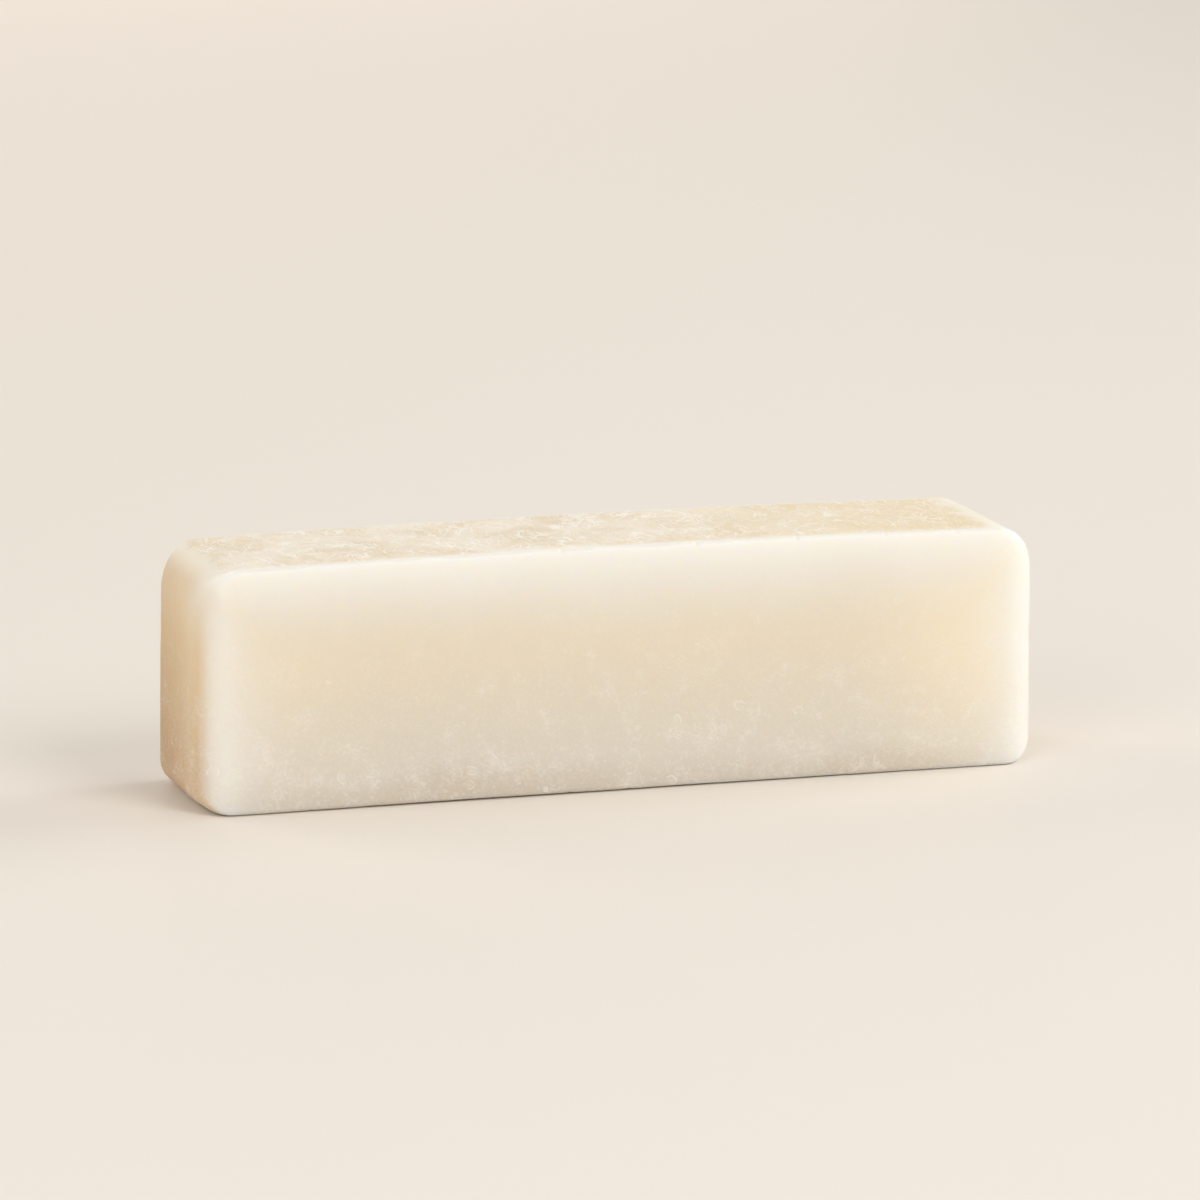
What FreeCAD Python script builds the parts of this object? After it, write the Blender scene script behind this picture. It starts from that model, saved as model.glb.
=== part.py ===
import FreeCAD, Part
import math
import os
from FreeCAD import Vector

# A moulded stick of stain remover soap, lying on one of its long sides.
# X runs along the bar, Y through it from one broad face to the other, and Z is up.
# The origin is at the middle of the underside. Sizes are in millimetres.

base_length = 90.0          # over the two ends, at the underside
base_depth = 18.4           # over the two broad faces, at the underside
side_height = 25.0          # underside to top, at the ends of the bar
crown_rise = 0.45           # how much higher the top stands at mid length
wall_draft_deg = 0.57       # inward lean of every wall, so that the mould lets go
top_end_radius = 5.0        # where the top turns down into an end
upright_radius = 3.7        # where an end turns into a broad face
base_end_radius = 3.0       # where an end turns under the bar
top_edge_radius = 0.4       # the two long edges of the top
base_edge_radius = 0.6      # the two long edges of the underside
widest_rounding = 0.45      # largest share of a wall that one rounding may take

lean = math.tan(math.radians(wall_draft_deg))
top_end = min(top_end_radius, widest_rounding * side_height)
upright = min(upright_radius, top_end, widest_rounding * base_depth)
base_end = min(base_end_radius, upright, widest_rounding * side_height)


def end_at(height):
    # Half the length of the bar at this height.
    return base_length / 2 - height * lean


def broad_face_at(height):
    # Half the depth of the bar at this height.
    return base_depth / 2 - height * lean


def outline():
    # Seen from a broad face: a flat underside, two leaning ends and a crowned top.
    base_left = Vector(-end_at(0), 0, 0)
    base_right = Vector(end_at(0), 0, 0)
    top_right = Vector(end_at(side_height), 0, side_height)
    top_left = Vector(-end_at(side_height), 0, side_height)
    crown = Vector(0, 0, side_height + crown_rise)
    sides = [
        Part.LineSegment(base_left, base_right),
        Part.LineSegment(base_right, top_right),
        Part.Arc(top_right, crown, top_left),
        Part.LineSegment(top_left, base_left),
    ]
    return Part.Face(Part.Wire([side.toShape() for side in sides]))


def cross_section():
    # Seen from an end: the two leaning broad faces, carried on above the crown.
    above = side_height + 2 * crown_rise
    corners = [
        Vector(0, -broad_face_at(0), 0),
        Vector(0, broad_face_at(0), 0),
        Vector(0, broad_face_at(above), above),
        Vector(0, -broad_face_at(above), above),
    ]
    return Part.Face(Part.makePolygon(corners + corners[:1]))


def sharp_block():
    # The outline, swept through the bar, held between the two broad faces.
    through = Vector(0, base_depth, 0)
    along = Vector(base_length, 0, 0)
    plate = outline().translated(-through).extrude(through * 2)
    slab = cross_section().translated(-along).extrude(along * 2)
    return plate.common(slab).Solids[0]


def heading_at(edge, parameter):
    # The axis that the edge runs closest to at this parameter.
    tangent = edge.tangentAt(parameter)
    return max("xyz", key=lambda axis: abs(getattr(tangent, axis)))


def facing(body, axis):
    # The flat faces that look along this axis.
    flat = [face for face in body.Faces if isinstance(face.Surface, Part.Plane)]
    return [face for face in flat if abs(getattr(face.normalAt(0, 0), axis)) > math.sqrt(0.5)]


def round_top_ends(body):
    across = [edge for edge in body.Edges if heading_at(edge, edge.FirstParameter) == "y"]
    upper = [edge for edge in across if edge.BoundBox.ZMin > side_height / 2]
    return body.makeFillet(top_end, upper)


def holds(edges, wanted):
    return any(edge.isSame(wanted) for edge in edges)


def graded_radii(body, face, spared, crisp, soft):
    # The edges round a face, as (number in the body, radius at its start, radius at its end).
    # A rounding is crisp where its edge runs along the bar, soft elsewhere, and grows between them.
    # A fillet runs the way that the first of its edges runs, so every start is taken that way.
    walk = [edge for edge in face.OuterWire.OrderedEdges if not holds(spared, edge)]
    first_way = walk[0].Orientation
    radii = []
    for edge in walk:
        ends = [edge.FirstParameter, edge.LastParameter]
        if edge.Orientation != first_way:
            ends.reverse()
        start, end = [min(crisp, soft) if heading_at(edge, p) == "x" else soft for p in ends]
        number = [other.isSame(edge) for other in body.Edges].index(True) + 1
        radii.append((number, start, end))
    return radii


def rounded(body, radii):
    # Only a document's own fillet takes a different radius at each end of an edge.
    document = FreeCAD.newDocument("soap")
    sharp = document.addObject("Part::Feature", "Sharp")
    sharp.Shape = body
    rounding = document.addObject("Part::Fillet", "Rounding")
    rounding.Base = sharp
    rounding.Edges = radii
    document.recompute()
    return rounding.Shape.Solids[0]


def round_broad_faces(body):
    # Up both ends and over the top, but not along the underside.
    underside = facing(body, "z")[0]
    radii = []
    for face in facing(body, "y"):
        radii += graded_radii(body, face, underside.Edges, top_edge_radius, upright)
    return rounded(body, radii)


def round_underside(body):
    underside = facing(body, "z")[0]
    return rounded(body, graded_radii(body, underside, [], base_edge_radius, base_end))


def soap_bar():
    return round_underside(round_broad_faces(round_top_ends(sharp_block())))


os.makedirs("parts", exist_ok=True)
soap_bar().exportStep("parts/soap_bar.step")
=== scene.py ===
import bpy
import bmesh
import math
from types import SimpleNamespace
import numpy as np
from mathutils import Matrix, Vector, noise


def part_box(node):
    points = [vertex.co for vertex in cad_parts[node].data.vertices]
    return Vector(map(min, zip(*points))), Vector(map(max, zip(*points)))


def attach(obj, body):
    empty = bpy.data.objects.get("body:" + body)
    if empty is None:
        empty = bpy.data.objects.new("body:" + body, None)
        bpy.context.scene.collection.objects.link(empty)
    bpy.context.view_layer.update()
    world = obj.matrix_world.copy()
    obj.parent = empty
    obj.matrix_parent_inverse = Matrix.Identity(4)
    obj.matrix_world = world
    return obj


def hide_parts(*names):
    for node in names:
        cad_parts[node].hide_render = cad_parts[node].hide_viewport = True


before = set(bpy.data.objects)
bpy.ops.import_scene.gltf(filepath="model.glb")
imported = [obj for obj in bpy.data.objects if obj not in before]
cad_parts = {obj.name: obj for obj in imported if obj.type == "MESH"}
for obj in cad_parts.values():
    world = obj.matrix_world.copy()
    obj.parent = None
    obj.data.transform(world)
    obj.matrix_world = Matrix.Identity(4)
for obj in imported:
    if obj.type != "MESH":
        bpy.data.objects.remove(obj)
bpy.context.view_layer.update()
print("frame loaded")

mm = 0.001
nearZero = 1e-9     # stands in for zero where a length divides


# shared helpers

def smoothStep(low, high, values):
    t = np.clip((values - low) / (high - low), 0.0, 1.0)
    return t * t * (3.0 - 2.0 * t)


def noiseField(points, grain, seed):
    # smooth noise between about -1 and 1, with blobs about one grain across
    shift = Vector((seed * 17.3, seed * 5.1, seed * 9.7))
    return np.array([noise.noise(Vector(p / grain) + shift) for p in points])


def linearColour(hexCode):
    parts = [int(hexCode[i:i + 2], 16) / 255 for i in (1, 3, 5)]
    return tuple(p / 12.92 if p <= 0.04045 else ((p + 0.055) / 1.055) ** 2.4 for p in parts) + (1.0,)


def newObject(name, bm):
    mesh = bpy.data.meshes.new(name)
    bm.to_mesh(mesh)
    bm.free()
    piece = bpy.data.objects.new(name, mesh)
    bpy.context.scene.collection.objects.link(piece)
    return piece


def addNode(tree, kind, settings, links=None):
    # settings are the node's own properties or its input values, links are what feeds its inputs
    node = tree.nodes.new("ShaderNode" + kind)
    for name, value in settings.items():
        if name == "ramp":
            while len(node.color_ramp.elements) < len(value):
                node.color_ramp.elements.new(0.5)
            for element, (place, colour) in zip(node.color_ramp.elements, value):
                element.position, element.color = place, colour
        elif isinstance(name, str) and hasattr(node, name):
            setattr(node, name, value)
        else:
            node.inputs[name].default_value = value
    for name, source in (links or {}).items():
        socket = source if isinstance(source, bpy.types.NodeSocket) else source.outputs[0]
        tree.links.new(socket, node.inputs[name])
    return node


def newMaterial(name):
    material = bpy.data.materials.new(name)
    material.use_nodes = True
    return material, material.node_tree, material.node_tree.nodes["Principled BSDF"]


# settings that many nodes share
smooth = {"interpolation_type": "SMOOTHSTEP"}
mixColours = {"data_type": "RGBA"}      # inputs 6 and 7 are then the two colours, and output 2 the mix


# soap bar, shape

barForm = {
    "cell": 0.32 * mm,          # mesh spacing on the faces
    "crowding": 1.2 * mm,       # cells get finer within this distance of an edge
    "lean": math.tan(math.radians(0.57)),   # of every wall, inwards as it rises
    "crown": 0.45 * mm,         # how much higher the top stands at mid length
    "topEnds": (4.6 * mm, 5.0 * mm),    # radius where the top turns down into the left and right end
    "upright": 3.7 * mm,        # where an end turns into a broad face
    "baseEnd": 3.0 * mm,        # where an end turns under the bar
    "topEdge": 0.28 * mm,       # the two crisp long edges of the top
    "baseEdge": 0.5 * mm,       # and of the underside
    "hollow": 0.15 * mm,        # the underside lifts by this much at mid length
}

barWear = {
    "swell": 0.05 * mm,         # slow waviness left by the mould
    "swellGrain": 13 * mm,
    "dimple": 0.010 * mm,       # faint dimples all over
    "dimpleGrain": 2.2 * mm,
    "blunting": 0.30 * mm,      # the long edges are worn rounder by up to this much, in places
    "bluntGrain": 5.0 * mm,
    "bluntRange": (-0.2, 0.9),  # it comes in over this range of a noise between about -1 and 1
    "chip": 0.55 * mm,          # the same, in short nicks
    "chipGrain": 0.9 * mm,
    "chipRange": (0.42, 0.75),
    "wornBase": 0.4,            # how much of this the edges of the underside get
    # dents: place, reach and depth, in mm
    "dents": [((-43.4, -7.3, 0.4), 2.2, 0.24), ((44.2, -7.0, 12.0), 3.0, 0.05),
              ((-20.0, -9.0, 24.6), 1.2, 0.08), ((31.0, -9.0, 24.9), 0.9, 0.10),
              ((12.0, 9.0, 25.2), 1.4, 0.12), ((43.0, 7.0, 1.0), 2.0, 0.18)],
}


def blockGrid(size):
    # even cells, a little oversize, because crowding them brings the block to size
    bm = bmesh.new()
    bmesh.ops.create_cube(bm, size=1.0)
    bmesh.ops.scale(bm, vec=size + Vector([barForm["crowding"]] * 3), verts=bm.verts)
    for axis in range(3):
        along = [e for e in bm.edges if abs((e.verts[1].co - e.verts[0].co)[axis]) > barForm["cell"]]
        cells = round((size[axis] + barForm["crowding"]) / barForm["cell"])
        bmesh.ops.subdivide_edges(bm, edges=along, cuts=cells - 1, use_grid_fill=True)
    return bm


def crowdTowardsEdges(points, size):
    # squeezes the outer cells together, so that the roundings are smooth
    reach = barForm["crowding"]
    for axis in range(3):
        inside = (size[axis] + reach) / 2 - np.abs(points[:, axis])
        inside = np.where(inside < reach, inside ** 2 / (2 * reach), inside - reach / 2)
        points[:, axis] = np.sign(points[:, axis]) * (size[axis] / 2 - inside)


def roundOff(inLong, inEnd, inSide, corner, longEdge, endEdge):
    # Takes the depth of each point behind three faces that meet. The end is first rounded
    # into the long face, and then both into the side, crisp along the bar and soft at its end.
    depth = np.minimum(inLong, inEnd)
    offLong, offEnd = np.maximum(corner - inLong, 0), np.maximum(corner - inEnd, 0)
    atCorner = (offLong > 0) & (offEnd > 0)
    reach = np.maximum(np.hypot(offLong, offEnd), nearZero)
    facingEnd = np.where(atCorner, offEnd / reach, inEnd < inLong)
    facingLong = np.where(atCorner, offLong / reach, inEnd >= inLong)
    turn = smoothStep(0, math.pi / 2, np.arctan2(facingEnd, facingLong))
    radius = longEdge + (endEdge - longEdge) * turn
    a, b = np.maximum(radius - depth, 0), np.maximum(radius - inSide, 0)
    rounded = (a > 0) & (b > 0)
    shrink = np.maximum(a, b) / np.maximum(np.hypot(a, b), nearZero)
    newDepth = np.where(rounded, radius - a * shrink, depth)
    newSide = np.where(rounded, radius - b * shrink, inSide)
    newEnd = np.where(atCorner, corner - facingEnd * (corner - newDepth),
                      inEnd + facingEnd * (newDepth - depth))
    newLong = np.where(atCorner, corner - facingLong * (corner - newDepth),
                       inLong + facingLong * (newDepth - depth))
    return newLong, newEnd, newSide


def wornEdges(points):
    # how much rounder a long edge is, place by place; each of the four has a line of noise of its own
    onEdge = np.stack([points[:, 0], 30 * mm * np.sign(points[:, 1]), 50 * mm * np.sign(points[:, 2])], -1)
    blunt = smoothStep(*barWear["bluntRange"], noiseField(onEdge, barWear["bluntGrain"], 3))
    chips = smoothStep(*barWear["chipRange"], noiseField(onEdge, barWear["chipGrain"], 4))
    return barWear["blunting"] * blunt + barWear["chip"] * chips


def barShape(points, size):
    # makes the even block into the bar: roundings, leaning walls, crowned top, hollow underside
    crowdTowardsEdges(points, size)
    half = np.array(size) / 2
    side = np.sign(points)
    inX, inY = half[0] - np.abs(points[:, 0]), half[1] - np.abs(points[:, 1])
    z = points[:, 2] + half[2]
    upper = z > half[2]
    inTop = size.z - z
    worn = wornEdges(points)
    topEnd = np.where(points[:, 0] < 0, *barForm["topEnds"])
    top, topX, topY = roundOff(inTop, inX, inY, topEnd, barForm["topEdge"] + worn, barForm["upright"])
    # under the bar the uprights come first, so its ends stay round all the way down
    baseEdge = barForm["baseEdge"] + barWear["wornBase"] * worn
    baseY, baseX, base = roundOff(inY, inX, z, barForm["upright"], baseEdge, barForm["baseEnd"])
    z = np.where(upper, size.z - top, base)
    x = half[0] - np.where(upper, topX, baseX)
    y = half[1] - np.where(upper, topY, baseY)
    points[:, 0] = side[:, 0] * x * (1 - barForm["lean"] * z / half[0])
    points[:, 1] = side[:, 1] * y * (1 - barForm["lean"] * z / half[1])
    midLength = 1 - (x / half[0]) ** 2
    points[:, 2] = (z + barForm["crown"] * midLength * z / size.z
                    + barForm["hollow"] * midLength * (1 - z / size.z))


def wearBar(mesh):
    points = np.array([v.co for v in mesh.vertices])
    normals = np.array([v.normal for v in mesh.vertices])
    # the swell goes mostly inwards, so that the bar stays inside its solid
    depth = barWear["swell"] * (noiseField(points, barWear["swellGrain"], 1) - 0.5)
    depth += barWear["dimple"] * noiseField(points, barWear["dimpleGrain"], 2)
    for place, reach, deep in barWear["dents"]:
        near = ((points / mm - np.array(place)) ** 2).sum(1) / reach ** 2
        depth -= deep * mm * np.exp(-near)
    points += normals * depth[:, None]
    points[:, 2] = np.maximum(points[:, 2], 0.0)
    mesh.vertices.foreach_set("co", points.ravel())


def makeBar():
    low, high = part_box("soap_bar")
    size = high - low
    size.x += 2 * barForm["lean"] * barForm["baseEnd"]     # the walls lean in from just above the floor
    size.y += 2 * barForm["lean"] * barForm["baseEdge"]
    size.z -= barForm["crown"]
    bm = blockGrid(size)
    points = np.array([v.co for v in bm.verts])
    barShape(points, size)
    for vert, place in zip(bm.verts, points):
        vert.co = place
    bmesh.ops.recalc_face_normals(bm, faces=bm.faces)
    bar = newObject("soapBar", bm)
    bar.data.shade_smooth()
    wearBar(bar.data)
    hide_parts("soap_bar")
    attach(bar, "root")
    return bar


bar = makeBar()
print("bar made:", len(bar.data.polygons), "faces")


# soap bar, material

soapLook = {
    "flesh": "#e4d8c2",         # warm and translucent, in the middle of a broad face
    "glow": "#f0e3c9",          # brighter and yellower where light comes through from an end
    "lowShade": "#dad2c5",        # painted shade, lower down
    "footShade": "#cec1b0",          # painted shade, darker still along the underside
    "edgeLight": "#eeede9",          # painted light: a pale band along the edges, where light comes through the thin soap
    "endShadeHigh": "#e5ca9d",       # painted warm shade on the two small ends, top and bottom
    "endShadeLow": "#c3a27b",
    "top": "#f1e5d0",
    "topShade": "#e5d3b6",      # in patches on the top
    "topRight": "#ead5aa",      # and yellower towards its right end
    "shoulderLight": "#fdf5e5",      # painted light where the top rounds into an end, brightest there
    "creaseShade": "#d9d4c8",        # painted shade on the long edges, against the highlight they catch
    "frost": "#fdfaf2",         # crystals and wisps
    "frostTop": "#fff7ea",

    # amounts from 0 to 1, and pairs of them for the left and the right end of the bar
    "bodyStops": (0.0, 0.16, 0.60),     # share of the height where the painted shade of the underside, the painted shade lower down and the flesh lie
    "endStops": (0.05, 0.95),           # and the two colours of the ends
    "glowLeft": 0.32,           # beside 1 at the right end
    "glowLow": 0.30,            # beside 1 higher up
    "drift": 0.24,              # how far the colour wanders from its height
    "streak": 0.40,             # and on the ends, in streaks
    "shadeToBack": 0.04,            # painted shade: the ends get darker by this much with each mm to the back
    "endShadeAmounts": (1.0, 0.6),      # how far the ends take their painted shade
    "edgeLightTop": 0.84,            # how strong the painted light is along the top of a broad face
    "edgeLightEnds": (0.75, 0.95),   # and up its two ends
    "edgeLightFold": 0.85,           # where it comes round from the front onto an end
    "edgeLightFoldLow": 0.18,        # the same, low down at the left end
    "edgeLightOver": 0.24,           # where it comes over the top onto an end
    "shoulders": (0.75, 0.35),
    "creaseShading": 0.62,            # how far the long edges take the painted shade
    "marginLight": 0.60,             # how strong the painted light is along the long edges of the top
    "yellowing": 0.70,          # how far the top turns yellower to the right
    "haze": 0.08,               # how white each kind of mark is at most
    "hair": 0.50,
    "spotRim": 0.42,
    "spotDisc": 0.17,
    "spotUneven": 0.30,         # how far out of round, as a share of the gap between spots
    "fewSpots": 0.56,           # a higher value leaves fewer of them
    "fleck": 0.22,
    "sand": 0.26,
    "marksHigh": 0.20,          # marks on the walls high up, beside 1 low down
    "frostRight": 0.80,         # strokes at the right end of the top, beside 1 at the left
    "hairGather": (0.06, 0.30),     # share of the marks outside the clusters and in them
    "frostGather": (0.30, 0.88),

    # stretches in mm, from the middle of the bar or up from its underside
    "middle": (-20.0, 20.0),        # a value of the left end turns into that of the right end
    "turnRight": (-10.0, 10.0),     # past this the painted light folds round the end at every height
    "topStart": (-43.2, -41.4),     # the rough skin of the top comes in
    "topStop": (40.5, 37.5),        # and goes out
    "topRagged": 5.0,               # along a line that wanders this far
    "glowToLeft": (-24.0, -42.0),   # the glow grows towards each end
    "glowToRight": (22.0, 41.0),
    "glowHeights": (2.0, 12.0),     # and upwards
    "colourHeights": (0.0, 25.0),   # the whole height, for the stops above
    "foldHeights": (16.0, 24.5),    # the painted light folded round the left end grows upwards
    "shoulderHeights": (22.7, 24.8),
    "markHeights": (3.0, 21.0),     # marks on the walls thin out upwards
    "fewerAlong": (5.0, 32.0),      # strokes on the top thin out to the right
    "yellowAlong": (-5.0, 38.0),
    "marginAcross": (7.6, 8.9),     # painted light along the long edges of the top

    # how squarely the skin faces a way, from 0 edge on to 1 straight
    "facingUp": (0.84, 0.99),
    "facingEnd": (0.22, 0.95),
    "facingSide": (0.48, 0.95),
    "turningFromSide": (0.90, 0.40),
    "turningFromEnd": (0.34, 0.05),
    "slant": (0.10, 0.42),          # up and out at once, as on a long edge

    # a mark comes in or goes out over such a range of a noise, which runs from 0 to 1, mostly near 0.5
    "hazeRange": (0.46, 0.74),
    "hairRange": (0.005, 0.026),    # off the middle of the noise
    "hairGatherRange": (0.42, 0.72),
    "strokeRange": (0.615, 0.685),
    "rimRange": (0.005, 0.034),     # either side of the edge of a spot
    "rimBreakRange": (0.44, 0.54),
    "discRange": (0.30, 0.18),      # from the edge of a spot inwards
    "fleckRange": (0.50, 0.76),
    "frostGatherRange": (0.38, 0.62),
    "sandRange": (0.46, 0.70),
    "patchRange": (0.36, 0.64),

    # sizes of the patterns in mm
    "edgeLightReach": 5.6,           # the painted light fades to a third within this far of an edge
    "edgeLightRagged": 3.0,          # and its limit wanders this far
    "cloud": 14,                # slow drift in the colour
    "patch": 6.0,               # patches on the top
    "cluster": 2.8,             # clusters that crystals gather in
    "curl": 3.2,                # what bends the strokes
    "bend": 2.0,                # and how far
    "hairGrain": 1.3,
    "spotGap": 3.6,
    "rimGrain": 1.1,
    "fleckGrain": 0.36,
    "streakGrain": (1.0, 0.625, 6.25),      # drawn long upwards
    "sandGrain": (1 / 3, 1 / 0.9, 1.0),     # drawn long across the bar
    # crystal strokes: angle from the length of the bar in degrees, then length and width
    "topStrokes": [(3, 2.2, 0.80), (-61, 4.2, 0.46), (60, 4.2, 0.44), (82, 4.7, 0.26), (-84, 4.7, 0.25)],
    "wallStrokes": [(14, 0.95, 0.22), (-44, 0.90, 0.20), (64, 0.95, 0.22)],
    "frostRise": 0.03,          # the crystals on top stand this proud
    "hazeRise": 0.015,
    "sinkDepth": 3.0,           # how deep light sinks in

    "sinkColours": (1.0, 0.86, 0.60),   # red goes deepest, which warms the thin edges
    "sinkLeast": 0.35,          # the share of light that still sinks in under crystals
    "crystalCover": 0.35,       # once they cover this share of the skin
    "ior": 1.46,
    "roughness": 0.55,
    "roughnessTop": 0.65,
}


def soapColour(name):
    return linearColour(soapLook[name])


def over(name):
    # a named range, for a node that goes from one value to another over it
    start, stop = soapLook[name]
    return {"From Min": start, "From Max": stop}


def endToEnd(name):
    # along the bar, from the value of the left end to that of the right end
    left, right = soapLook[name]
    return {**over("middle"), "To Min": left, "To Max": right}


def eitherWay(name):
    # turns a noise into a swing to both sides
    swing = soapLook[name]
    return {"operation": "MULTIPLY_ADD", 1: swing, 2: -swing / 2}


def soapFields(tree):
    # what the layers share: the place in mm, which way the skin faces, and two noises
    coords = addNode(tree, "TexCoord", {})
    place = addNode(tree, "VectorMath", {"operation": "SCALE", "Scale": 1 / mm},
                    {0: coords.outputs["Object"]})
    axes = addNode(tree, "SeparateXYZ", {}, {0: place})
    facing = addNode(tree, "SeparateXYZ", {}, {0: coords.outputs["Normal"]})
    curl = addNode(tree, "TexNoise", {"Scale": 1 / soapLook["curl"], "Detail": 2.0}, {"Vector": place})
    bent = addNode(tree, "VectorMath", {"operation": "MULTIPLY_ADD", 1: [soapLook["bend"]] * 3},
                   {0: curl.outputs["Color"], 2: place})
    return SimpleNamespace(
        place=place, bent=bent, x=axes.outputs[0], y=axes.outputs[1], z=axes.outputs[2],
        toEnd=addNode(tree, "Math", {"operation": "ABSOLUTE"}, {0: facing.outputs[0]}),
        toSide=addNode(tree, "Math", {"operation": "ABSOLUTE"}, {0: facing.outputs[1]}),
        upward=facing.outputs[2],
        cloud=addNode(tree, "TexNoise", {"Scale": 1 / soapLook["cloud"], "Detail": 3.0}, {"Vector": place}),
        cluster=addNode(tree, "TexNoise", {"Scale": 1 / soapLook["cluster"], "Detail": 3.0,
                                           "Roughness": 0.6}, {"Vector": bent}))


def topMask(tree, at):
    # the rough skin of the top stops short of its rounded ends, along a ragged line
    flat = addNode(tree, "MapRange", {**smooth, **over("facingUp")}, {0: at.upward})
    wobble = addNode(tree, "Math", eitherWay("topRagged"), {0: at.cluster})
    reach = addNode(tree, "Math", {"operation": "ADD"}, {0: at.x, 1: wobble})
    fromLeft = addNode(tree, "MapRange", {**smooth, **over("topStart")}, {0: reach})
    fromRight = addNode(tree, "MapRange", {**smooth, **over("topStop")}, {0: reach})
    between = addNode(tree, "Math", {"operation": "MULTIPLY"}, {0: fromLeft, 1: fromRight})
    return addNode(tree, "Math", {"operation": "MULTIPLY"}, {0: flat, 1: between})


def wallBodyAndShade(tree, at):
    # the colour changes with height, greyer and darker low down as painted shade, and is brighter towards
    # the ends of the bar, where light coming through is painted in
    height = addNode(tree, "MapRange", over("colourHeights"), {0: at.z})
    drift = addNode(tree, "Math", eitherWay("drift"), {0: at.cloud})
    level = addNode(tree, "Math", {"operation": "ADD"}, {0: height, 1: drift})
    bodyColours = [soapColour(name) for name in ("footShade", "lowShade", "flesh")]
    body = addNode(tree, "ValToRGB", {"ramp": [*zip(soapLook["bodyStops"], bodyColours)]}, {0: level})
    glowRight = addNode(tree, "MapRange", {**smooth, **over("glowToRight")}, {0: at.x})
    glowLeft = addNode(tree, "MapRange", {**smooth, **over("glowToLeft"), "To Max": soapLook["glowLeft"]},
                       {0: at.x})
    glow = addNode(tree, "Math", {"operation": "MAXIMUM"}, {0: glowRight, 1: glowLeft})
    glowUp = addNode(tree, "MapRange", {**over("glowHeights"), "To Min": soapLook["glowLow"]}, {0: at.z})
    glowThere = addNode(tree, "Math", {"operation": "MULTIPLY"}, {0: glow, 1: glowUp})
    lit = addNode(tree, "Mix", {**mixColours, 7: soapColour("glow")}, {0: glowThere, 6: body})

    # the ends are tanner, most of all low down and at the back, which is painted warm shade, with faint
    # upright streaks
    finer = [1 / grain for grain in soapLook["streakGrain"]]
    drawn = addNode(tree, "VectorMath", {"operation": "MULTIPLY", 1: finer}, {0: at.place})
    streak = addNode(tree, "TexNoise", {"Scale": 1.0, "Detail": 4.0, "Roughness": 0.65}, {"Vector": drawn})
    shift = addNode(tree, "Math", eitherWay("streak"), {0: streak})
    forward = addNode(tree, "Math", {"operation": "MULTIPLY_ADD", 1: -soapLook["shadeToBack"]},
                      {0: at.y, 2: shift})
    endLevel = addNode(tree, "Math", {"operation": "ADD"}, {0: level, 1: forward})
    endColours = [soapColour(name) for name in ("endShadeLow", "endShadeHigh")]
    shadedEnd = addNode(tree, "ValToRGB", {"ramp": [*zip(soapLook["endStops"], endColours)]}, {0: endLevel})
    facesEnd = addNode(tree, "MapRange", {**smooth, **over("facingEnd")}, {0: at.toEnd})
    tan = addNode(tree, "MapRange", endToEnd("endShadeAmounts"), {0: at.x})
    onEnd = addNode(tree, "Math", {"operation": "MULTIPLY"}, {0: facesEnd, 1: tan})
    return addNode(tree, "Mix", mixColours, {0: onEnd, 6: lit.outputs[2], 7: shadedEnd})


def edgeLightBeside(tree, gap, uneven):
    # exp(-(gap / reach)^2)
    ragged = addNode(tree, "Math", {"operation": "ADD"}, {0: gap, 1: uneven})
    share = addNode(tree, "Math", {"operation": "DIVIDE", 1: soapLook["edgeLightReach"]}, {0: ragged})
    square = addNode(tree, "Math", {"operation": "MULTIPLY"}, {0: share, 1: share})
    power = addNode(tree, "Math", {"operation": "MULTIPLY", 1: -1.0}, {0: square})
    return addNode(tree, "Math", {"operation": "EXPONENT"}, {0: power})


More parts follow.
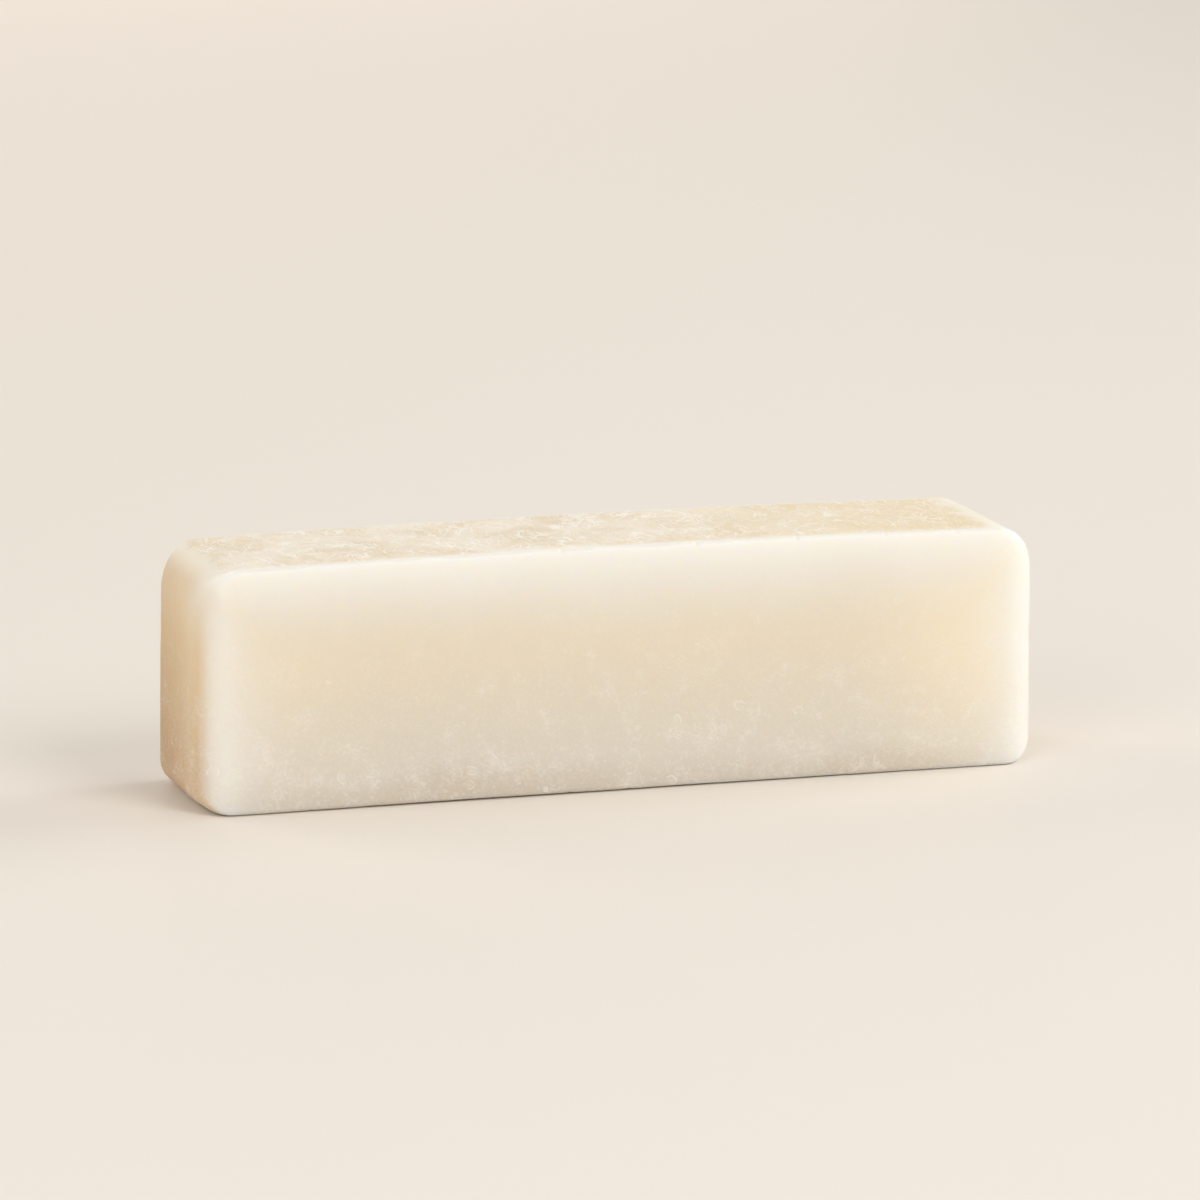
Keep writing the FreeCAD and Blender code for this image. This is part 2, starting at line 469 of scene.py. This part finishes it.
def edgeLightMask(tree, at):
    # on the broad faces the painted light comes in from the top and from the ends of the bar
    halfLength, halfDepth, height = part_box("soap_bar")[1] / mm
    edgeHeight = height - barForm["crown"] / mm / 2     # the long edges of the top follow its crown
    uneven = addNode(tree, "Math", eitherWay("edgeLightRagged"), {0: at.cloud})
    topGap = addNode(tree, "Math", {"operation": "SUBTRACT", 0: edgeHeight}, {1: at.z})
    topLightBand = edgeLightBeside(tree, topGap, uneven)
    fromTop = addNode(tree, "Math", {"operation": "MULTIPLY", 1: soapLook["edgeLightTop"]}, {0: topLightBand})
    along = addNode(tree, "Math", {"operation": "ABSOLUTE"}, {0: at.x})
    endGap = addNode(tree, "Math", {"operation": "SUBTRACT", 0: halfLength}, {1: along})
    endLightBand = edgeLightBeside(tree, endGap, uneven)
    thick = addNode(tree, "MapRange", endToEnd("edgeLightEnds"), {0: at.x})
    fromEnd = addNode(tree, "Math", {"operation": "MULTIPLY"}, {0: endLightBand, 1: thick})
    sideLightBand = addNode(tree, "Math", {"operation": "MAXIMUM", "use_clamp": True}, {0: fromTop, 1: fromEnd})

    # on an end it comes round from the front, at the left one mostly high up, and over the top
    frontGap = addNode(tree, "Math", {"operation": "ADD", 1: halfDepth}, {0: at.y})
    frontLightBand = edgeLightBeside(tree, frontGap, uneven)
    highUp = addNode(tree, "MapRange", {**smooth, **over("foldHeights"), "To Min": soapLook["edgeLightFoldLow"],
                                        "To Max": soapLook["edgeLightFold"]}, {0: at.z})
    atRight = addNode(tree, "MapRange", {**over("turnRight"), "To Max": soapLook["edgeLightFold"]}, {0: at.x})
    fold = addNode(tree, "Math", {"operation": "MAXIMUM"}, {0: highUp, 1: atRight})
    fromFront = addNode(tree, "Math", {"operation": "MULTIPLY"}, {0: frontLightBand, 1: fold})
    overTop = addNode(tree, "Math", {"operation": "MULTIPLY", 1: soapLook["edgeLightOver"]}, {0: topLightBand})
    endSkin = addNode(tree, "Math", {"operation": "MAXIMUM"}, {0: fromFront, 1: overTop})
    onSide = addNode(tree, "MapRange", {**smooth, **over("facingSide")}, {0: at.toSide})
    return addNode(tree, "Mix", {}, {0: onSide, 2: endSkin, 3: sideLightBand})


def wallsLitAndShaded(tree, at):
    # the walls, with painted light along their edges
    body = wallBodyAndShade(tree, at)
    edgeLit = addNode(tree, "Mix", {**mixColours, 7: soapColour("edgeLight")},
                     {0: edgeLightMask(tree, at), 6: body.outputs[2]})
    # the painted light is brightest on the shoulders
    high = addNode(tree, "MapRange", {**smooth, **over("shoulderHeights")}, {0: at.z})
    thick = addNode(tree, "MapRange", endToEnd("shoulders"), {0: at.x})
    shoulderLight = addNode(tree, "Math", {"operation": "MULTIPLY"}, {0: high, 1: thick})
    offSide = addNode(tree, "MapRange", {**smooth, **over("turningFromSide")}, {0: at.toSide})
    onShoulder = addNode(tree, "Math", {"operation": "MULTIPLY"}, {0: shoulderLight, 1: offSide})
    edgeLit = addNode(tree, "Mix", {**mixColours, 7: soapColour("shoulderLight")},
                     {0: onShoulder, 6: edgeLit.outputs[2]})
    # and painted shade on the long edges, where the skin faces both up and out
    slant = addNode(tree, "Math", {"operation": "MULTIPLY"}, {0: at.toSide, 1: at.upward})
    onEdge = addNode(tree, "MapRange", {**smooth, **over("slant"), "To Max": soapLook["creaseShading"]},
                     {0: slant})
    offEnd = addNode(tree, "MapRange", {**smooth, **over("turningFromEnd")}, {0: at.toEnd})
    creaseShade = addNode(tree, "Math", {"operation": "MULTIPLY"}, {0: onEdge, 1: offEnd})
    return addNode(tree, "Mix", {**mixColours, 7: soapColour("creaseShade")}, {0: creaseShade, 6: edgeLit.outputs[2]})


def strokesOf(tree, place, strokes, side):
    # short strokes lying at several angles, on the top or on the walls
    together = None
    for angle, length, width in strokes:
        turn = math.radians(angle)
        if side == "top":
            lying = {"Rotation": (0, 0, turn), "Scale": (length, width, 1.0)}
        else:
            lying = {"Rotation": (0, turn, 0), "Scale": (length, 1.0, width)}
        turned = addNode(tree, "Mapping", {"vector_type": "TEXTURE", **lying}, {"Vector": place})
        blobs = addNode(tree, "TexNoise", {"Scale": 1.0, "Detail": 1.0, "Roughness": 0.3},
                        {"Vector": turned})
        stroke = addNode(tree, "MapRange", {**smooth, **over("strokeRange")}, {0: blobs})
        if together:
            stroke = addNode(tree, "Math", {"operation": "MAXIMUM"}, {0: together, 1: stroke})
        together = stroke
    return together


def hairMarks(tree, at):
    # hair-thin curls, and short strokes, gathered in the clusters
    hair = addNode(tree, "TexNoise", {"Scale": 1 / soapLook["hairGrain"], "Detail": 1.0},
                   {"Vector": at.place})
    gap = addNode(tree, "Math", {"operation": "SUBTRACT", 1: 0.5}, {0: hair})
    off = addNode(tree, "Math", {"operation": "ABSOLUTE"}, {0: gap})
    line = addNode(tree, "MapRange", {**smooth, **over("hairRange"), "To Min": soapLook["hair"],
                                      "To Max": 0.0}, {0: off})
    strokes = strokesOf(tree, at.place, soapLook["wallStrokes"], "wall")
    lines = addNode(tree, "Math", {"operation": "MAXIMUM"}, {0: line, 1: strokes})
    few, many = soapLook["hairGather"]
    gathered = addNode(tree, "MapRange", {**smooth, **over("hairGatherRange"), "To Min": few,
                                          "To Max": many}, {0: at.cluster})
    return addNode(tree, "Math", {"operation": "MULTIPLY"}, {0: lines, 1: gathered})


def spotMarks(tree, at):
    # faint spots about a millimetre across, a little out of round, with a brighter broken rim
    cell = addNode(tree, "TexVoronoi", {"Scale": 1 / soapLook["spotGap"]}, {"Vector": at.bent})
    grain = addNode(tree, "TexNoise", {"Scale": 1 / soapLook["rimGrain"], "Detail": 1.0},
                    {"Vector": at.place})
    outOfRound = addNode(tree, "Math", {"operation": "MULTIPLY_ADD", 1: soapLook["spotUneven"]},
                         {0: grain, 2: cell.outputs["Distance"]})
    gap = addNode(tree, "Math", {"operation": "SUBTRACT", 1: soapLook["discRange"][0]}, {0: outOfRound})
    off = addNode(tree, "Math", {"operation": "ABSOLUTE"}, {0: gap})
    ring = addNode(tree, "MapRange", {**smooth, **over("rimRange"), "To Min": 1.0, "To Max": 0.0}, {0: off})
    broken = addNode(tree, "MapRange", {**smooth, **over("rimBreakRange"), "To Max": soapLook["spotRim"]},
                     {0: grain})
    disc = addNode(tree, "MapRange", {**smooth, **over("discRange"), "To Max": soapLook["spotDisc"]},
                   {0: outOfRound})
    rim = addNode(tree, "Math", {"operation": "MULTIPLY"}, {0: ring, 1: broken})
    spot = addNode(tree, "Math", {"operation": "MAXIMUM"}, {0: rim, 1: disc})
    someCells = addNode(tree, "Math", {"operation": "GREATER_THAN", 1: soapLook["fewSpots"]},
                        {0: cell.outputs["Color"]})
    return addNode(tree, "Math", {"operation": "MULTIPLY"}, {0: spot, 1: someCells})


def wallMarks(tree, at, haze):
    # all the marks on the walls, thicker low down
    grain = addNode(tree, "TexNoise", {"Scale": 1 / soapLook["fleckGrain"], "Detail": 2.0, "Roughness": 0.6},
                    {"Vector": at.place})
    flecks = addNode(tree, "MapRange", {**smooth, **over("fleckRange"), "To Max": soapLook["fleck"]},
                     {0: grain})
    marks = addNode(tree, "Math", {"operation": "MAXIMUM"}, {0: hairMarks(tree, at), 1: spotMarks(tree, at)})
    marks = addNode(tree, "Math", {"operation": "MAXIMUM"}, {0: marks, 1: flecks})
    marks = addNode(tree, "Math", {"operation": "ADD"}, {0: marks, 1: haze})
    low = addNode(tree, "MapRange", {**over("markHeights"), "To Min": 1.0, "To Max": soapLook["marksHigh"]},
                  {0: at.z})
    return addNode(tree, "Math", {"operation": "MULTIPLY", "use_clamp": True}, {0: marks, 1: low})


def topFrost(tree, at):
    # white strokes that cross each other, in clusters
    few, many = soapLook["frostGather"]
    gather = addNode(tree, "MapRange", {**smooth, **over("frostGatherRange"), "To Min": few, "To Max": many},
                     {0: at.cluster})
    fewer = addNode(tree, "MapRange", {**over("fewerAlong"), "To Min": 1.0,
                                       "To Max": soapLook["frostRight"]}, {0: at.x})
    gather = addNode(tree, "Math", {"operation": "MULTIPLY"}, {0: gather, 1: fewer})
    strokes = strokesOf(tree, at.bent, soapLook["topStrokes"], "top")
    frost = addNode(tree, "Math", {"operation": "MULTIPLY"}, {0: strokes, 1: gather})
    # and a fine sand between them, coarser than real grains, which would be too fine to show
    finer = [1 / grain for grain in soapLook["sandGrain"]]
    drawn = addNode(tree, "VectorMath", {"operation": "MULTIPLY", 1: finer}, {0: at.place})
    grain = addNode(tree, "TexNoise", {"Scale": 1.0, "Detail": 2.0, "Roughness": 0.6}, {"Vector": drawn})
    sand = addNode(tree, "MapRange", {**smooth, **over("sandRange"), "To Max": soapLook["sand"]}, {0: grain})
    return addNode(tree, "Math", {"operation": "MAXIMUM"}, {0: frost, 1: sand})


def topSkin(tree, at, marks):
    # darker patches under the marks, yellower to the right, and painted light along the two long edges
    patch = addNode(tree, "TexNoise", {"Scale": 1 / soapLook["patch"], "Detail": 3.0, "Roughness": 0.6},
                    {"Vector": at.place})
    shade = addNode(tree, "MapRange", {**smooth, **over("patchRange")}, {0: patch})
    body = addNode(tree, "Mix", {**mixColours, 6: soapColour("top"), 7: soapColour("topShade")}, {0: shade})
    yellow = addNode(tree, "MapRange", {**smooth, **over("yellowAlong"), "To Max": soapLook["yellowing"]},
                     {0: at.x})
    body = addNode(tree, "Mix", {**mixColours, 7: soapColour("topRight")}, {0: yellow, 6: body.outputs[2]})
    frosted = addNode(tree, "Mix", {**mixColours, 7: soapColour("frostTop")}, {0: marks, 6: body.outputs[2]})
    across = addNode(tree, "Math", {"operation": "ABSOLUTE"}, {0: at.y})
    marginLight = addNode(tree, "MapRange", {**smooth, **over("marginAcross"), "To Max": soapLook["marginLight"]},
                     {0: across})
    return addNode(tree, "Mix", {**mixColours, 7: soapColour("edgeLight")}, {0: marginLight, 6: frosted.outputs[2]})


def mouldedSoap():
    # Hard soap, moulded and let dry: waxy and a little translucent, warm in its thick middle,
    # paler along its edges with painted light, duller on its long edges and tan on its ends with painted
    # shade, with fine white crystals in its skin, most of them on top.
    material, tree, shader = newMaterial("mouldedSoap")
    at = soapFields(tree)
    onTop = topMask(tree, at)
    haze = addNode(tree, "MapRange", {**smooth, **over("hazeRange"), "To Max": soapLook["haze"]},
                   {0: at.cluster})
    marks = wallMarks(tree, at, haze)
    marked = addNode(tree, "Mix", {**mixColours, 7: soapColour("frost")},
                     {0: marks, 6: wallsLitAndShaded(tree, at).outputs[2]})
    frost = topFrost(tree, at)
    topMarks = addNode(tree, "Math", {"operation": "ADD", "use_clamp": True}, {0: frost, 1: haze})
    topped = topSkin(tree, at, topMarks)
    skin = addNode(tree, "Mix", mixColours, {0: onTop, 6: marked.outputs[2], 7: topped.outputs[2]})
    tree.links.new(skin.outputs[2], shader.inputs["Base Color"])

    # crystals lie on the skin and stop the light from sinking in
    crystals = addNode(tree, "Mix", {}, {0: onTop, 2: marks, 3: topMarks})
    sinking = addNode(tree, "MapRange", {"From Max": soapLook["crystalCover"], "To Min": 1.0,
                                         "To Max": soapLook["sinkLeast"]}, {0: crystals})
    tree.links.new(sinking.outputs[0], shader.inputs["Subsurface Weight"])
    shader.inputs["Subsurface Radius"].default_value = soapLook["sinkColours"]
    shader.inputs["Subsurface Scale"].default_value = soapLook["sinkDepth"] * mm

    # the crystals on top stand a little proud, the haze less
    frostTop = addNode(tree, "Math", {"operation": "MULTIPLY"}, {0: frost, 1: onTop})
    swell = addNode(tree, "Math", {"operation": "MULTIPLY", 1: soapLook["hazeRise"]}, {0: at.cluster})
    rise = addNode(tree, "Math", {"operation": "MULTIPLY_ADD", 1: soapLook["frostRise"]},
                   {0: frostTop, 2: swell})
    relief = addNode(tree, "Bump", {"Distance": mm}, {"Height": rise})
    tree.links.new(relief.outputs[0], shader.inputs["Normal"])

    dull = addNode(tree, "MapRange", {"To Min": soapLook["roughness"], "To Max": soapLook["roughnessTop"]},
                   {0: onTop})
    tree.links.new(dull.outputs[0], shader.inputs["Roughness"])
    shader.inputs["IOR"].default_value = soapLook["ior"]
    return material


bar.data.materials.append(mouldedSoap())
print("soap made")


# floor

stageLook = {
    "floor": "#f0e8dd",
    "size": 8.0,                    # in metres
    "roughness": 0.6,
    "lift": 0.07,                   # far from the bar the camera sees the floor this much brighter
    "liftReach": (0.15, 1.0),       # it grows between these distances, in metres
}


def makeFloor():
    bm = bmesh.new()
    bmesh.ops.create_grid(bm, x_segments=1, y_segments=1, size=stageLook["size"] / 2)
    floor = newObject("floor", bm)
    material, tree, shader = newMaterial("paintedTable")
    shader.inputs["Base Color"].default_value = linearColour(stageLook["floor"])
    shader.inputs["Roughness"].default_value = stageLook["roughness"]
    # the lamps are small and near, so the far floor is evened out, for the camera only
    coords = addNode(tree, "TexCoord", {})
    away = addNode(tree, "VectorMath", {"operation": "LENGTH"}, {0: coords.outputs["Object"]})
    near, far = stageLook["liftReach"]
    lift = addNode(tree, "MapRange", {**smooth, "From Min": near, "From Max": far,
                                      "To Max": stageLook["lift"]}, {0: away.outputs["Value"]})
    rays = addNode(tree, "LightPath", {})
    seen = addNode(tree, "Math", {"operation": "MULTIPLY"}, {0: lift, 1: rays.outputs["Is Camera Ray"]})
    shader.inputs["Emission Color"].default_value = linearColour(stageLook["floor"])
    tree.links.new(seen.outputs[0], shader.inputs["Emission Strength"])
    floor.data.materials.append(material)


makeFloor()
print("floor made")


# light

lightRig = {
    # name: place and size in metres, power in watts, colour; every lamp looks at the bar
    "key": ((0.35, -0.70, 0.60), 0.6, 3.78, "#ffffff"),
    "fill": ((-0.60, -0.62, 0.38), 0.6, 1.75, "#ffffff"),
    "rim": ((0.72, 0.10, 0.36), 0.4, 2.05, "#ffffff"),
    "back": ((-0.56, 0.60, 0.42), 0.5, 1.50, "#fff0de"),
    "low": ((0.12, 0.95, 0.15), 0.6, 0.80, "#fff0de"),
}
roomLight = 0.48        # even light from all around


def makeLights():
    for name, (place, size, power, colour) in lightRig.items():
        data = bpy.data.lights.new(name, "AREA")
        data.shape = "DISK"
        data.size = size
        data.energy = power
        data.color = linearColour(colour)[:3]
        lamp = bpy.data.objects.new(name, data)
        lamp.location = place
        lamp.rotation_euler = (-Vector(place)).to_track_quat("-Z", "Y").to_euler()
        lamp.visible_camera = False
        bpy.context.scene.collection.objects.link(lamp)
    world = bpy.data.worlds.new("softBox")
    bpy.context.scene.world = world
    world.use_nodes = True
    world.node_tree.nodes["Background"].inputs["Color"].default_value = (1, 1, 1, 1)
    world.node_tree.nodes["Background"].inputs["Strength"].default_value = roomLight


makeLights()
print("lamps made:", len(lightRig))


# camera

cameraPlace = {
    "azimuth": -17.889,         # degrees round from the front, to the left
    "elevation": 11.604,        # degrees above level
    "roll": 0.388,              # degrees about the line of sight
    "lens": 198.68,             # mm, with the usual 36 mm sensor
    "target": (0, 0, 12.5 * mm),    # near the middle of the bar
    "distance": 679.19 * mm,
    "aside": 0.04 * mm,         # the camera is moved to its right by this much, without turning
    "rise": 5.41 * mm,          # and up
}


def makeCamera():
    azimuth, elevation, roll = (math.radians(cameraPlace[k]) for k in ("azimuth", "elevation", "roll"))
    back = Vector((math.sin(azimuth) * math.cos(elevation), -math.cos(azimuth) * math.cos(elevation),
                   math.sin(elevation)))
    right = Vector((0, 0, 1)).cross(back).normalized()
    up = back.cross(right)
    right, up = math.cos(roll) * right + math.sin(roll) * up, math.cos(roll) * up - math.sin(roll) * right
    data = bpy.data.cameras.new("camera")
    data.lens = cameraPlace["lens"]
    data.clip_start = 0.01
    camera = bpy.data.objects.new("camera", data)
    bpy.context.scene.collection.objects.link(camera)
    place = Vector(cameraPlace["target"]) + back * cameraPlace["distance"]
    place += right * cameraPlace["aside"] + up * cameraPlace["rise"]
    camera.matrix_world = Matrix.Translation(place) @ Matrix((right, up, back)).transposed().to_4x4()
    bpy.context.scene.camera = camera


makeCamera()
print("camera made")
bpy.context.scene.view_settings.view_transform = "Standard"
